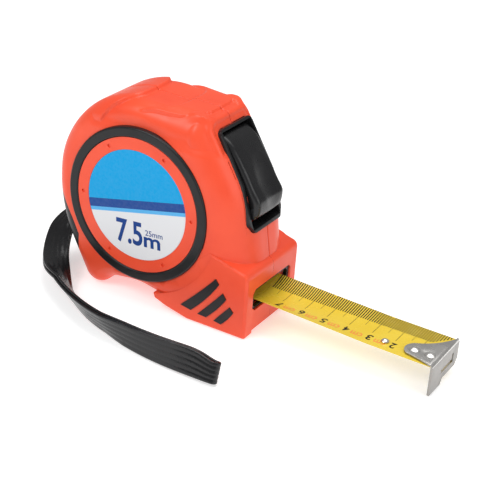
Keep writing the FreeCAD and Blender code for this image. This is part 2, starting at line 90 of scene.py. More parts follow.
def add_studio():
    """White surroundings, three soft lamps and a white floor."""
    bpy.context.scene.view_settings.view_transform = "Standard"
    world = bpy.data.worlds.new("studio")
    bpy.context.scene.world = world
    world.use_nodes = True
    sky = world.node_tree.nodes["Background"]
    sky.inputs["Color"].default_value = (1.0, 1.0, 1.0, 1.0)
    sky.inputs["Strength"].default_value = 0.32
    add_light("key", (-0.25, -0.55, 0.65), (0.5, 0.4), 3.6)
    add_light("top", (0.05, 0.15, 0.7), (0.6, 0.5), 3.0)
    add_light("fill", (0.65, -0.2, 0.3), (0.4, 0.4), 1.3)
    mesh = bpy.data.meshes.new("floor")
    half = 3.0
    mesh.from_pydata([(-half, -half, 0), (half, -half, 0), (half, half, 0), (-half, half, 0)],
                     [], [(0, 1, 2, 3)])
    floor = bpy.data.objects.new("floor", mesh)
    floor.location.z = -0.0001
    bpy.context.collection.objects.link(floor)
    paper = bpy.data.materials.new("paper")
    paper.use_nodes = True
    shader = paper.node_tree.nodes["Principled BSDF"]
    shader.inputs["Base Color"].default_value = (0.72, 0.72, 0.72, 1.0)
    shader.inputs["Roughness"].default_value = 0.9
    shader.inputs["Emission Color"].default_value = (1.0, 1.0, 1.0, 1.0)
    shader.inputs["Emission Strength"].default_value = 0.5
    mesh.materials.append(paper)


# ---- mesh helpers, all in millimetres ----
def new_piece(name, points, faces, smooth_angle=30.0):
    """Mesh object from points in millimetres, smooth except where faces meet sharply."""
    mesh = bpy.data.meshes.new(name)
    mesh.from_pydata([tuple(p) for p in np.asarray(points, dtype=float) * MM], [], faces)
    mesh.update()
    piece = bpy.data.objects.new(name, mesh)
    bpy.context.collection.objects.link(piece)
    soften(piece, smooth_angle)
    return piece


def soften(piece, smooth_angle=30.0):
    piece.data.shade_smooth()
    piece.data.set_sharp_from_angle(angle=math.radians(smooth_angle))


def fix_normals(piece):
    shape = bmesh.new()
    shape.from_mesh(piece.data)
    bmesh.ops.remove_doubles(shape, verts=shape.verts, dist=1e-7)
    bmesh.ops.recalc_face_normals(shape, faces=shape.faces)
    shape.to_mesh(piece.data)
    shape.free()


def apply_modifiers(piece):
    shown = bpy.context.evaluated_depsgraph_get()
    mesh = bpy.data.meshes.new_from_object(piece.evaluated_get(shown))
    piece.modifiers.clear()
    old, piece.data = piece.data, mesh
    bpy.data.meshes.remove(old)


def combine(piece, other, operation):
    """Boolean of piece with a closed mesh: UNION, DIFFERENCE or INTERSECT."""
    modifier = piece.modifiers.new("cut", "BOOLEAN")
    modifier.operation = operation
    modifier.solver = "MANIFOLD"
    modifier.object = other
    apply_modifiers(piece)


def drop(piece):
    """Removes a helper piece and its mesh."""
    mesh = piece.data
    bpy.data.objects.remove(piece)
    bpy.data.meshes.remove(mesh)


def duplicate(piece, name):
    copy = bpy.data.objects.new(name, piece.data.copy())
    bpy.context.collection.objects.link(copy)
    return copy


def cad_copy(node, name):
    """A loose, welded copy of a CAD node's mesh."""
    copy = duplicate(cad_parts[node], name)
    copy.data.materials.clear()
    fix_normals(copy)
    return copy


def prism(name, outline, y_low, y_high):
    """Closed prism on an X, Z outline."""
    count = len(outline)
    points = [(x, y_low, z) for x, z in outline] + [(x, y_high, z) for x, z in outline]
    faces = [tuple(range(count)), tuple(range(2 * count - 1, count - 1, -1))]
    faces += [(i, count + i, count + (i + 1) % count, (i + 1) % count) for i in range(count)]
    piece = new_piece(name, points, faces)
    fix_normals(piece)
    return piece


def rounded(corners, steps=10):
    """Points along an X, Z outline whose corners (x, z, radius) are rounded by arcs."""
    points = []
    for i, (x, z, radius) in enumerate(corners):
        here = np.array((x, z))
        before = np.array(corners[i - 1][:2]) - here
        after = np.array(corners[(i + 1) % len(corners)][:2]) - here
        before /= np.linalg.norm(before)
        after /= np.linalg.norm(after)
        half = math.acos(float(np.clip(before @ after, -1, 1))) / 2
        back = radius / math.tan(half)
        start, end = here + before * back, here + after * back
        centre = here + (before + after) / np.linalg.norm(before + after) * radius / math.sin(half)
        turn = np.arctan2(*(start - centre)[::-1]), np.arctan2(*(end - centre)[::-1])
        sweep = (turn[1] - turn[0] + math.pi) % (2 * math.pi) - math.pi
        for k in range(steps + 1):
            angle = turn[0] + sweep * k / steps
            points.append(centre + radius * np.array((math.cos(angle), math.sin(angle))))
    return np.array(points)


def smoothstep(value, low, high):
    t = np.clip((value - low) / (high - low), 0.0, 1.0)
    return t * t * (3 - 2 * t)


# ---- case ----
# corners of the body's outline: X, Z and the radius that rounds them
BODY_OUTLINE = [
    (-60.6, -4.0, 6.5), (-79.2, 30.0, 60.0), (-79.2, 88.8, 39.0), (-11.3, 86.0, 9.0),
    (8.0, 57.0, 40.0), (13.0, 28.0, 10.0), (8.0, 12.0, 7.0), (-24.0, 4.8, 5.0),
    (-38.0, 7.4, 30.0), (-51.5, 5.6, 8.0),
]
FRONT_TILT = math.radians(25.0)   # the button faces this far above +X
BEZEL_CENTRE = (2.2, 62.3)        # X, Z
RING_R = 33.0                     # the body's side meets the grip ring here
BODY_HALF = 19.95
SKIN_GAP = 0.06                   # the sculpted skin stays this far inside the CAD outline
LOW_SKIN = 1.5                    # depth of the finger hollow under the highest skin
# corner of the body's section: its depth along the radius and its width, by angle above +X
CORNER_ANGLES = [-60, -30, -15, 20, 50, 90, 130, 150, 165, 180, 230, 250, 262, 285, 300]
CORNER_DEPTHS = [6, 14, 18, 14, 13, 8.0, 7.5, 7, 6.3, 6.0, 6.0, 6.2, 3.0, 3.0, 6]
CORNER_WIDTHS = [6, 14, 16, 13, 11, 8.5, 8.5, 7.5, 6.5, 6.0, 6.0, 6.2, 5.0, 5.0, 6]
RAYS, ROWS = 720, 90              # round the rim, and from its middle to each side


def body_radius(angles, drop_by):
    """Distance from the reel axis to the body's outline at each angle, less drop_by."""
    corners = rounded(BODY_OUTLINE, 30)
    ends = np.roll(corners, -1, 0)
    outline = np.concatenate([corners + (ends - corners) * t for t in np.arange(0, 1, 0.05)])
    x, z = outline[:, 0] - REEL_X, outline[:, 1] - REEL_Z
    bearing = np.arctan2(z, x)
    order = np.argsort(bearing)
    bearing, radius = bearing[order], np.hypot(x, z)[order]
    bearing = np.concatenate((bearing - 2 * math.pi, bearing, bearing + 2 * math.pi))
    return np.interp(angles, bearing, np.tile(radius, 3)) - drop_by


def over_front(x, y, z):
    """Distance up the sloping front from the middle of the button, and across it."""
    up = (z - BEZEL_CENTRE[1]) * math.cos(FRONT_TILT) - (x - BEZEL_CENTRE[0]) * math.sin(FRONT_TILT)
    return up, np.abs(y)


# the bumps beyond the lip's top corners: up the front, across it, radius and height
HORN_UP, HORN_SIDE, HORN_R, HORN_HEIGHT = 28.3, 12.6, 2.8, 1.9


def collar(x, y, z):
    """Raised lip that runs round the bezel, with a bump beyond each of its top corners."""
    up, side = over_front(x, y, z)
    top, bottom, half_across, corner = 25.4, 24.0, 14.0, 4.5
    over = np.abs(up - (top - bottom) / 2) - (top + bottom) / 2 + corner
    across = side - half_across + corner
    outside = np.hypot(np.maximum(over, 0), np.maximum(across, 0))
    crest = outside + np.minimum(np.maximum(over, across), 0) - corner
    outer = 1 - smoothstep(crest, 0.2, 3.4)
    inner = 1 - 0.5 * smoothstep(-crest, 0.3, 2.2)
    horn = np.exp(-((up - HORN_UP) / HORN_R) ** 2 - ((side - HORN_SIDE) / HORN_R) ** 2)
    return np.where(crest > 0, outer, inner) * (1 - horn) + HORN_HEIGHT * horn


HOLLOW_Z = (71.0, 77.0)           # the hollow's floor fades in between these heights
BACK_X = (-63.0, -60.0)           # and the back stays full behind these
STEP_X, STEP_SWEEP, STEP_HALF, STEP_POWER = -43.9, 11.7, 19.4, 3.9
PAD_BACK_X, PAD_SWEEP, PAD_SWEEP_HALF, PAD_POWER = -27.4, 10.7, 17.6, 4.4
SEAM_DEPTH, SEAM_WIDTH = 0.35, (0.05, 0.45)
# the pad in front of the finger hollow: half of its width at each X, from its tip forward
PAD_X = [-38.3, -36.0, -33.0, -28.0, -22.0, -17.5, -15.3, -14.3, -13.9]
PAD_HALF = [18.3, 17.7, 17.1, 16.6, 15.6, 13.4, 10.8, 7.5, 0.0]


def relief(x, y, z):
    """Height of the moulded contours against the highest skin, in millimetres."""
    side = np.abs(y)
    on_top = smoothstep(z, *HOLLOW_Z)
    # the back of the case stands above the finger hollow on top
    step_x = STEP_X - STEP_SWEEP * (side / STEP_HALF) ** STEP_POWER
    rear = smoothstep(step_x - x, -0.5, 0.6) * on_top
    low_back = 1 - on_top * smoothstep(x, *BACK_X)
    # leaf-shaped pad in front of the hollow
    pad_back = PAD_BACK_X - PAD_SWEEP * (side / PAD_SWEEP_HALF) ** PAD_POWER
    pad_half = np.interp(x, PAD_X, PAD_HALF, right=-9.0)
    pad = smoothstep(x - pad_back, -0.5, 1.8) * smoothstep(pad_half - side, -0.5, 0.5) * on_top
    before_lip = 0.5 * smoothstep(x, -18.0, -14.5)
    height = np.maximum.reduce([rear, low_back, 0.95 * pad, before_lip, collar(x, y, z)])
    groove = SEAM_DEPTH * (1 - smoothstep(side, *SEAM_WIDTH))
    return LOW_SKIN * (height - 1) - groove


def body_solid(name, inset=0.0, plain=False):
    """The round body as one closed block, its rim sampled by rays about the reel axis.

    Each ray carries a section from the middle of the rim over its rounded corner to the side.
    """
    angles = np.linspace(0, 2 * math.pi, RAYS, endpoint=False)
    degrees = np.degrees(angles)
    keys = np.array(CORNER_ANGLES, dtype=float)
    span = np.where(degrees > keys[-1], degrees - 360, degrees)
    depth = np.interp(span, keys, CORNER_DEPTHS)
    width = np.interp(span, keys, CORNER_WIDTHS)
    radius = body_radius(angles, SKIN_GAP + inset)
    depth = np.minimum(depth, radius - RING_R + inset - 0.05)
    half = BODY_HALF - inset
    quarter = np.linspace(0, math.pi / 2, 120)
    points = np.zeros((RAYS, 2 * ROWS + 1, 3))
    for i in range(RAYS):
        y = np.concatenate(([0.0], half - width[i] + width[i] * np.sin(quarter), [half]))
        r = np.concatenate(([radius[i]], radius[i] - depth[i] * (1 - np.cos(quarter)),
                            [RING_R - 1.5]))
        walked = np.concatenate(([0.0], np.cumsum(np.hypot(np.diff(y), np.diff(r)))))
        stops = np.linspace(0, walked[-1], ROWS + 1)
        y, r = np.interp(stops, walked, y), np.interp(stops, walked, r)
        y = np.concatenate((-y[:0:-1], y))
        r = np.concatenate((r[:0:-1], r))
        points[i] = np.stack((REEL_X + r * math.cos(angles[i]), y,
                              REEL_Z + r * math.sin(angles[i])), axis=1)
    if not plain:
        along = np.roll(points, -1, 0) - np.roll(points, 1, 0)
        across = np.gradient(points, axis=1)
        normal = np.cross(along, across)
        normal /= np.linalg.norm(normal, axis=2, keepdims=True)
        outward = points - np.array((REEL_X, 0, REEL_Z))
        normal *= np.sign(np.sum(normal * outward, axis=2, keepdims=True))
        height = relief(points[..., 0], points[..., 1], points[..., 2])
        points = points + normal * height[..., None]
    rows = 2 * ROWS + 1
    flat = list(points.reshape(-1, 3))
    faces = []
    for i in range(RAYS):
        j = (i + 1) % RAYS
        for k in range(rows - 1):
            faces.append((i * rows + k, j * rows + k, j * rows + k + 1, i * rows + k + 1))
    for side, column in ((-1, 0), (1, rows - 1)):
        hub = len(flat)
        flat.append((REEL_X, side * half, REEL_Z))
        faces += [(hub, i * rows + column, ((i + 1) % RAYS) * rows + column)
                  for i in range(RAYS)]
    piece = new_piece(name, flat, faces)
    fix_normals(piece)
    return piece


# the same for the nose under the button
NOSE_OUTLINE = [
    (14.95, 0.02, 1.0), (14.95, 28.3, 3.2), (-3.0, 33.1, 0.4), (-30.0, 9.0, 0.4),
    (-28.5, 4.45, 0.8), (-23.0, 2.45, 4.0), (-12.5, 0.02, 4.0),
]
NOSE_HALF = 20.34
NOSE_EDGE_R = 2.2


def nose_solid():
    """The square nose under the button, its upper and front rims rounded."""
    piece = prism("nose", rounded(NOSE_OUTLINE, 8), -NOSE_HALF, NOSE_HALF)
    shape = bmesh.new()
    shape.from_mesh(piece.data)
    rims = [e for e in shape.edges
            if all(abs(abs(v.co.y) - NOSE_HALF * MM) < 1e-6 for v in e.verts)
            and e.verts[0].co.y * e.verts[1].co.y > 0
            and max(v.co.x for v in e.verts) > -0.0032
            and max(v.co.z for v in e.verts) > 0.0006]
    bmesh.ops.bevel(shape, geom=rims, offset=NOSE_EDGE_R * MM, segments=6, profile=0.5,
                    affect="EDGES", clamp_overlap=True)
    shape.to_mesh(piece.data)
    shape.free()
    return piece


# X, Z outline of the black inlays at the back
REAR_ZONE = [(-86.0, 41.5), (-76.0, 37.6), (-70.6, 28.6), (-67.0, 21.5), (-67.2, 15.2),
             (-70.0, 11.0), (-86.0, 11.0)]


REAR_SKIN = 2.0                   # thickness of the rear inlays
BEZEL_GAP = 0.05
SEAM = 0.11                       # half of the gap between the case halves


def darken_well(piece):
    """Painted shade: the walls of the front seam and every case face seen deep through the bezel get
    the black plastic, for the shade in these gaps.
    """
    piece.data.materials.append(MATERIALS["plastic"])
    centres = np.array([tuple(face.center) for face in piece.data.polygons]) / MM
    x, y, z = centres.T
    up, side = over_front(x, y, z)
    bearing = np.arctan2(z - REEL_Z, x - REEL_X)
    sunk = body_radius(bearing, 0.0) - np.hypot(x - REEL_X, z - REEL_Z)
    # painted shade: case faces more than 3 mm under the outline inside the bezel, and the seam's walls,
    # go black
    well = (side < 11.3) & (np.abs(up) < 21.0) & (sunk > 3.0)
    dark = well | ((side < SEAM + 0.02) & (x > 4.0))
    for face, is_dark in zip(piece.data.polygons, dark):
        face.material_index = int(is_dark)


def build_shells():
    """Both case halves and their rear inlays: the CAD shells cut to the sculpted body."""
    body = body_solid("body_solid")
    nose = nose_solid()
    combine(body, nose, "UNION")
    drop(nose)
    core = body_solid("core", inset=REAR_SKIN, plain=True)
    zone = prism("rear_zone", REAR_ZONE, -30.0, 30.0)
    combine(zone, core, "DIFFERENCE")
    drop(core)
    opening = front_prism("bezel_opening", BEZEL_GAP)
    for side, y_low, y_high in (("left", -40.0, -SEAM), ("right", SEAM, 40.0)):
        whole = cad_copy(side + "_shell", "whole")
        grip = cad_copy("rear_grip_" + side, "grip")
        combine(whole, grip, "UNION")
        drop(grip)
        # the rectangular opening is filled to its corners and cut again to the bezel's outline
        bezel = cad_copy("button_bezel", "bezel_fill")
        half_space = prism("half_space", [(-60, 0), (60, 0), (60, 100), (-60, 100)], y_low, y_high)
        combine(bezel, half_space, "INTERSECT")
        combine(bezel, opening, "DIFFERENCE")
        combine(whole, bezel, "UNION")
        drop(bezel)
        drop(half_space)
        combine(whole, body, "INTERSECT")
        inlay = duplicate(whole, side + "_rear_inlay")
        combine(inlay, zone, "INTERSECT")
        combine(whole, zone, "DIFFERENCE")
        whole.name = side + "_case_half"
        for piece, node, finish in ((whole, side + "_shell", "case"),
                                    (inlay, "rear_grip_" + side, "rubber")):
            soften(piece, 32.0)
            even = piece.modifiers.new("even", "WEIGHTED_NORMAL")
            even.keep_sharp = True
            apply_modifiers(piece)
            paint(piece, MATERIALS[finish])
            if finish == "case":
                darken_well(piece)
            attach(piece, "case")
            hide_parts(node)
    for tool in (body, zone, opening):
        drop(tool)


# ---- materials ----
def new_material(name, shader_values):
    """Material whose Principled shader has these plain values, and its node tree."""
    made = bpy.data.materials.new(name)
    made.use_nodes = True
    shader = made.node_tree.nodes["Principled BSDF"]
    for socket, value in shader_values.items():
        shader.inputs[socket].default_value = value
    return made, made.node_tree, shader


def noise(tree, per_metre, detail=3.0, roughness=0.55, stretch=(1.0, 1.0, 1.0)):
    """Noise in the object's own metres, optionally stretched along an axis."""
    place = tree.nodes.new("ShaderNodeTexCoord")
    scale = tree.nodes.new("ShaderNodeMapping")
    scale.inputs["Scale"].default_value = stretch
    cloud = tree.nodes.new("ShaderNodeTexNoise")
    cloud.inputs["Scale"].default_value = per_metre
    cloud.inputs["Detail"].default_value = detail
    cloud.inputs["Roughness"].default_value = roughness
    tree.links.new(place.outputs["Object"], scale.inputs["Vector"])
    tree.links.new(scale.outputs["Vector"], cloud.inputs["Vector"])
    return cloud.outputs["Fac"]


def spread(tree, value, low, high):
    """A value that is 0.3 to 0.7 mostly, spread from low to high."""
    ramp = tree.nodes.new("ShaderNodeMapRange")
    ramp.inputs["From Min"].default_value = 0.3
    ramp.inputs["From Max"].default_value = 0.7
    ramp.inputs["To Min"].default_value = low
    ramp.inputs["To Max"].default_value = high
    tree.links.new(value, ramp.inputs["Value"])
    return ramp.outputs["Result"]


def blend_colours(tree, factor, first, second):
    mix = tree.nodes.new("ShaderNodeMix")
    mix.data_type = "RGBA"
    for socket, colour in ((mix.inputs[6], first), (mix.inputs[7], second)):
        if isinstance(colour, tuple):
            socket.default_value = (*colour, 1.0)
        else:
            tree.links.new(colour, socket)
    tree.links.new(factor, mix.inputs[0])
    return mix.outputs[2]


def add_bump(tree, shader, height, strength, depth_mm):
    bump = tree.nodes.new("ShaderNodeBump")
    bump.inputs["Strength"].default_value = strength
    bump.inputs["Distance"].default_value = depth_mm * MM
    tree.links.new(height, bump.inputs["Height"])
    tree.links.new(bump.outputs["Normal"], shader.inputs["Normal"])


def surface(name, light, dark, gloss, grain_per_mm=3.0, relief_mm=0.02, stretch=(1, 1, 1),
            **shader_values):
    """Moulded or rolled surface: soft colour clouds, uneven gloss and a fine grain."""
    made, tree, shader = new_material(name, shader_values)
    cloud = noise(tree, 55.0)
    tree.links.new(blend_colours(tree, spread(tree, cloud, 0.0, 1.0), light, dark),
                   shader.inputs["Base Color"])
    tree.links.new(spread(tree, noise(tree, 140.0, 4.0), *gloss), shader.inputs["Roughness"])
    grain = noise(tree, grain_per_mm / MM, 2.0, 0.6, stretch)
    add_bump(tree, shader, grain, 0.5, relief_mm)
    return made


LABEL_TURN = math.radians(4.5)    # the figures sit slightly anticlockwise
BAND_TURN = math.radians(12.9)    # and the band behind them a little more
LABEL_SHIFT = (                   # puts the disc's centre at the turned origin
    -(REEL_X * math.cos(BAND_TURN) + REEL_Z * math.sin(BAND_TURN)) * MM, 0.0,
    -(REEL_Z * math.cos(BAND_TURN) - REEL_X * math.sin(BAND_TURN)) * MM)
LABEL_REACH = 25.0                # the bands are laid out this far each way of the disc's centre
# lower edge of each band above the centre, and its colour
LABEL_BANDS = [
    (-LABEL_REACH, (0.72, 0.73, 0.75)), (-3.3, (0.10, 0.42, 0.78)), (-1.65, (0.018, 0.070, 0.28)),
    (1.98, (0.006, 0.33, 0.68)),
]


def label_paper():
    """Printed disc: blue field, navy band, thin light stripe and a pale lower field."""
    made, tree, shader = new_material("label_paper", {"Specular IOR Level": 0.08})
    place = tree.nodes.new("ShaderNodeTexCoord")
    turn = tree.nodes.new("ShaderNodeMapping")
    turn.inputs["Location"].default_value = LABEL_SHIFT
    turn.inputs["Rotation"].default_value = (0.0, BAND_TURN, 0.0)
    split = tree.nodes.new("ShaderNodeSeparateXYZ")
    tree.links.new(place.outputs["Object"], turn.inputs["Vector"])
    tree.links.new(turn.outputs["Vector"], split.inputs["Vector"])
    height = tree.nodes.new("ShaderNodeMapRange")
    height.inputs["From Min"].default_value = -LABEL_REACH * MM
    height.inputs["From Max"].default_value = LABEL_REACH * MM
    tree.links.new(split.outputs["Z"], height.inputs["Value"])
    bands = tree.nodes.new("ShaderNodeValToRGB")
    bands.color_ramp.interpolation = "CONSTANT"
    ramp = bands.color_ramp
    while len(ramp.elements) < len(LABEL_BANDS):
        ramp.elements.new(0.5)
    for element, (level, colour) in zip(ramp.elements, LABEL_BANDS):
        element.position = (level + LABEL_REACH) / (2 * LABEL_REACH)
        element.color = (*colour, 1.0)
    tree.links.new(height.outputs["Result"], bands.inputs["Fac"])
    speck = spread(tree, noise(tree, 900.0, 2.0), 0.0, 0.02)
    tree.links.new(blend_colours(tree, speck, bands.outputs["Color"], (1.0, 1.0, 1.0)),
                   shader.inputs["Base Color"])
    tree.links.new(spread(tree, noise(tree, 300.0), 0.30, 0.42), shader.inputs["Roughness"])
    add_bump(tree, shader, noise(tree, 2500.0), 0.3, 0.01)
    return made


def make_materials():
    """Every material of the scene, by its short name."""
    red, deep_red = (0.86, 0.088, 0.034), (0.80, 0.070, 0.026)
    black, soft_black = (0.007, 0.007, 0.008), (0.013, 0.013, 0.014)
    return {
        "case": surface("case_red", red, deep_red, (0.30, 0.42), 4.0, 0.012,
                        **{"Specular IOR Level": 0.3, "Coat Weight": 0.12,
                                                "Coat Roughness": 0.3}),
        "rubber": surface("black_rubber", black, soft_black, (0.26, 0.40), 5.0, 0.02,
                          **{"Specular IOR Level": 0.3}),
        "plastic": surface("black_plastic", black, soft_black, (0.22, 0.34), 6.0, 0.015,
                           **{"Specular IOR Level": 0.35}),
        "label": label_paper(),
        "blade": surface("blade_yellow", (0.80, 0.59, 0.055), (0.75, 0.53, 0.030), (0.22, 0.32),
                         2.0, 0.006, **{"Specular IOR Level": 0.35, "Coat Weight": 0.15}),
        "steel": surface("bright_steel", (0.86, 0.84, 0.81), (0.74, 0.72, 0.69), (0.20, 0.34),
                         6.0, 0.012, (1.0, 0.15, 1.0), **{"Metallic": 1.0}),
        "spring": surface("spring_steel", (0.40, 0.39, 0.38), (0.28, 0.28, 0.29), (0.28, 0.42),
                          4.0, 0.01, (0.2, 1.0, 0.2), **{"Metallic": 1.0}),
        "reel": surface("reel_plastic", (0.55, 0.55, 0.54), (0.48, 0.48, 0.47), (0.40, 0.52)),
        "strap": surface("strap_vinyl", (0.004, 0.004, 0.005), (0.010, 0.010, 0.011),
                         (0.14, 0.32), 0.9, 0.12, (1.0, 1.0, 1.0),
                         **{"Specular IOR Level": 0.4}),
        "ink": surface("black_ink", (0.012, 0.012, 0.013), (0.02, 0.02, 0.02), (0.3, 0.4),
                       **{"Specular IOR Level": 0.1}),
        "orange": surface("orange_ink", (0.86, 0.27, 0.06), (0.80, 0.22, 0.04), (0.3, 0.4)),
        "navy": surface("navy_ink", (0.018, 0.06, 0.25), (0.014, 0.05, 0.21), (0.3, 0.4),
                        **{"Specular IOR Level": 0.08}),
        # painted shade: a darker copy of the steel, for the hook's faces that do not face up
        "painted_shade_steel": surface("steel_painted_shade", (0.36, 0.345, 0.33), (0.27, 0.26, 0.25), (0.28, 0.44),
                        6.0, 0.012, (1.0, 0.15, 1.0), **{"Metallic": 1.0}),
    }


def paint(piece, material):
    """The whole piece in one material."""
    piece.data.materials.clear()
    piece.data.materials.append(material)


CAD_FINISHES = {
    "case": ["left_side_plate", "right_side_plate"],
    "rubber": ["left_grip_ring", "right_grip_ring", "nose_grips_left", "nose_grips_right",
               "brake_pad"],
    "plastic": ["mouth_guide", "brake_lever"],
    "label": ["label"],
    "blade": ["blade", "blade_coil", "blade_lead"],
    "steel": ["hook_rivets", "blade_rivet", "case_screws", "belt_clip", "clip_screw",
              "button_pin", "brake_pivot_pin", "strap_pin", "centre_post"],
    "spring": ["power_spring", "brake_spring", "blade_stiffener"],
    "reel": ["reel_drum", "spring_cover", "reel_flange_left", "reel_flange_right",
             "thrust_washers"],
}


def finish_cad_nodes():
    for finish, nodes in CAD_FINISHES.items():
        for node in nodes:
            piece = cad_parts[node]
            for slot in piece.material_slots:
                slot.link = "OBJECT"
                slot.material = MATERIALS[finish]


# ---- wrist strap ----
STRAP_ROUTE = [
    (-75.7, 0.0, 23.85), (-82.2, -0.3, 21.3), (-85.8, -6.2, 15.6), (-81.3, -17.0, 9.5),
    (-72.0, -28.5, 6.6), (-58.0, -39.5, 5.9), (-42.5, -47.5, 5.7), (-27.0, -51.5, 5.7),
    (-10.0, -54.0, 5.8), (7.0, -54.3, 5.9), (22.5, -53.2, 6.0),
]
STRAP_WIDTH = 11.0
PLY_THICKNESS = 1.15
FOLD_R = 0.64                     # middle of a ply to the middle of the doubled band
RIDGES, RIDGE_HEIGHT = 5, 0.09
STATION_GAP = 0.8
# direction of the band's width at fractions of its length, where it turns behind the case
STRAP_TURNS = [(0.0, (0.0, 1.0, 0.0)), (0.12, (-0.9, 0.2, 0.1)), (0.20, (-1.0, 0.0, 0.0)),
               (0.28, (-0.85, -0.5, 0.2))]
# and the share of its width that the camera sees further on, below 0 from the other face
STRAP_SHOWN = [(0.38, -0.25), (0.50, 0.15), (0.62, 0.40), (0.70, 0.66), (0.80, 0.82),
               (0.90, 0.93), (1.0, 0.97)]


def strap_path():
    """Points along the smooth line of the strap, read from its NURBS spline, in millimetres."""
    curve = bpy.data.curves.new("strap_line", "CURVE")
    curve.dimensions = "3D"
    spline = curve.splines.new("NURBS")
    spline.points.add(len(STRAP_ROUTE) - 1)
    for point, place in zip(spline.points, STRAP_ROUTE):
        point.co = (*[c * MM for c in place], 1.0)
    spline.order_u = 3
    spline.use_endpoint_u = True
    spline.resolution_u = 16
    holder = bpy.data.objects.new("strap_line", curve)
    bpy.context.collection.objects.link(holder)
    shown = bpy.context.evaluated_depsgraph_get()
    mesh = bpy.data.meshes.new_from_object(holder.evaluated_get(shown))
    points = np.array([tuple(v.co) for v in mesh.vertices]) / MM
    bpy.data.objects.remove(holder)
    bpy.data.meshes.remove(mesh)
    bpy.data.curves.remove(curve)
    return points


def along_path(path, walked, distance):
    """Place on the line at a distance along it, and the direction of the line there."""
    behind, here, ahead = (np.array([np.interp(distance + step, walked, path[:, i])
                                     for i in range(3)]) for step in (-0.4, 0.0, 0.4))
    return here, (ahead - behind) / np.linalg.norm(ahead - behind)


def strap_turns(path, walked):
    """Fractions of the band's length, and the direction of its width at each of them."""
    fractions, turns = (list(column) for column in zip(*STRAP_TURNS))
    for fraction, share in STRAP_SHOWN:
        here, along = along_path(path, walked, fraction * walked[-1])
        edge_on = np.array(CAMERA_PLACE) / MM - here
        edge_on -= along * (edge_on @ along)
        edge_on /= np.linalg.norm(edge_on)
        face_on = np.cross(edge_on, along)
        fractions.append(fraction)
        turns.append(edge_on * math.sqrt(1 - share ** 2) + face_on * share)
    return fractions, np.array(turns)


def strap_section():
    """Closed outline of one ply: (across, out) with rounded edges and lengthwise ridges."""
    half, thick = STRAP_WIDTH / 2, PLY_THICKNESS / 2
    count = 44
    outline = []
    for k in range(count + 1):
        across = -half + thick + (STRAP_WIDTH - 2 * thick) * k / count
        ridge = RIDGE_HEIGHT * abs(math.sin(math.pi * RIDGES / 2 * (across / half + 1)))
        outline.append((across, thick - RIDGE_HEIGHT + ridge))
    outline += [(half - thick + thick * math.sin(a), thick * math.cos(a))
                for a in np.linspace(0.3, math.pi - 0.3, 7)]
    outline += [(across, -thick) for across in np.linspace(half - thick, -half + thick, 8)]
    outline += [(-half + thick - thick * math.sin(a), -thick * math.cos(a))
                for a in np.linspace(0.3, math.pi - 0.3, 7)]
    return outline


def build_strap():
    """The doubled band along its line, twisted as it lies."""
    path = strap_path()
    steps = np.linalg.norm(np.diff(path, axis=0), axis=1)
    walked = np.concatenate(([0.0], np.cumsum(steps)))
    total = walked[-1]
    fractions, turns = strap_turns(path, walked)

    def frame_at(distance):
        """Place on the line, and the directions along it, across the band and out of it."""
        here, along = along_path(path, walked, distance)
        across = np.array([np.interp(distance / total, fractions, turns[:, i])
                           for i in range(3)])
        across -= along * (across @ along)
        across /= np.linalg.norm(across)
        return here, along, across, np.cross(along, across)

    # stations of the folded band: out along one ply, round the fold, back along the other
    stations = []
    for distance in np.arange(0.0, total - FOLD_R, STATION_GAP):
        stations.append((distance, 0.0))
    for angle in np.linspace(0, math.pi, 9):
        stations.append((total - FOLD_R, angle))
    for distance in np.arange(total - FOLD_R - STATION_GAP, -0.01, -STATION_GAP):
        stations.append((max(distance, 0.0), math.pi))
    section = strap_section()
    points, faces = [], []
    for distance, angle in stations:
        here, along, across, out = frame_at(distance)
        swell = 1.0 + 1.3 * math.exp(-((total - distance) / 9.0) ** 2)
        narrow = 1.0 - 0.22 * math.exp(-((total - distance) / 7.0) ** 2)
        here = here - across * STRAP_WIDTH / 2 * (1.0 - narrow)
        ply_gap = FOLD_R * swell
        turned = out * math.cos(angle) + along * math.sin(angle)
        centre = here + out * ply_gap * math.cos(angle) + along * ply_gap * math.sin(angle)
        for a, o in section:
            points.append(centre + across * a * narrow + turned * o)
    count = len(section)
    for i in range(len(stations) - 1):
        for k in range(count):
            m = (k + 1) % count
            faces.append((i * count + k, i * count + m, (i + 1) * count + m, (i + 1) * count + k))
    faces.append(tuple(range(count))[::-1])
    faces.append(tuple((len(stations) - 1) * count + k for k in range(count)))
    piece = new_piece("strap_band", points, faces, 50.0)
    fix_normals(piece)
    soften(piece, 50.0)
    paint(piece, MATERIALS["strap"])
    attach(piece, "case")
    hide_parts("wrist_strap")


# ---- button and bezel ----
def front_prism(name, grow):
    """Rounded block along the button's facing direction: the outline of the bezel."""
    reach = 30.0
    top, bottom = 21.1 + grow, 21.8 + grow
    top_half, low_half, foot_half = 11.3 + grow, 12.45 + grow, 9.6 + grow
    outline = [(-top_half, top, 2.4), (top_half, top, 2.4), (low_half, -bottom + 4.2, 2.5),
               (foot_half, -bottom, 1.5), (-foot_half, -bottom, 1.5),
               (-low_half, -bottom + 4.2, 2.5)]
    flat = rounded(outline, 6)
    out = np.array((math.cos(FRONT_TILT), 0.0, math.sin(FRONT_TILT)))
    up = np.array((-math.sin(FRONT_TILT), 0.0, math.cos(FRONT_TILT)))
    centre = np.array((BEZEL_CENTRE[0], 0.0, BEZEL_CENTRE[1]))
    ring = [centre + np.array((0.0, y, 0.0)) + up * u for y, u in flat]
    count = len(ring)
    points = [p - out * reach for p in ring] + [p + out * reach for p in ring]
    faces = [tuple(range(count)), tuple(range(2 * count - 1, count - 1, -1))]
    faces += [(i, count + i, count + (i + 1) % count, (i + 1) % count) for i in range(count)]
    piece = new_piece(name, points, faces)
    fix_normals(piece)
    return piece


